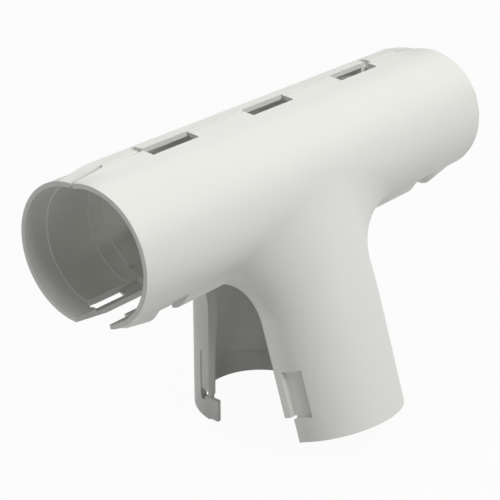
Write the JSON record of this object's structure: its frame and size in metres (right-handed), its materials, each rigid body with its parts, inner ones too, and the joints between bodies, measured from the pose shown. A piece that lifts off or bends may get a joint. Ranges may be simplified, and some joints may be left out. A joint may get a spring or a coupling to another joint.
{
  "type": "conduit tee",
  "caption": "Hinged conduit tee that opens in half shells round a run and a branch, with stepped sockets, catch tongues and windows along the hinge.",
  "frame": {"origin": "where the axis of the run meets the axis of the branch, on the parting plane of the rear shell", "axes": "+X along the run, +Y from the front shell to the rear shell, +Z from the branch to the hinge ridge, so the branch points down"},
  "size_m": [0.1388, 0.0629, 0.0874],
  "materials": {
    "shell": "satin"
  },
  "bodies": {
    "rear": {"rear_shell": "shell"},
    "front": {"front_shell": "shell"}
  },
  "joints": [
    {"name": "shell_hinge", "type": "hinge", "parent": "rear", "child": "front", "pos_m": [0, 0, 0.0188], "axis": [-1, 0, 0], "range_deg": [-17.7, 57.3]}
  ]
}
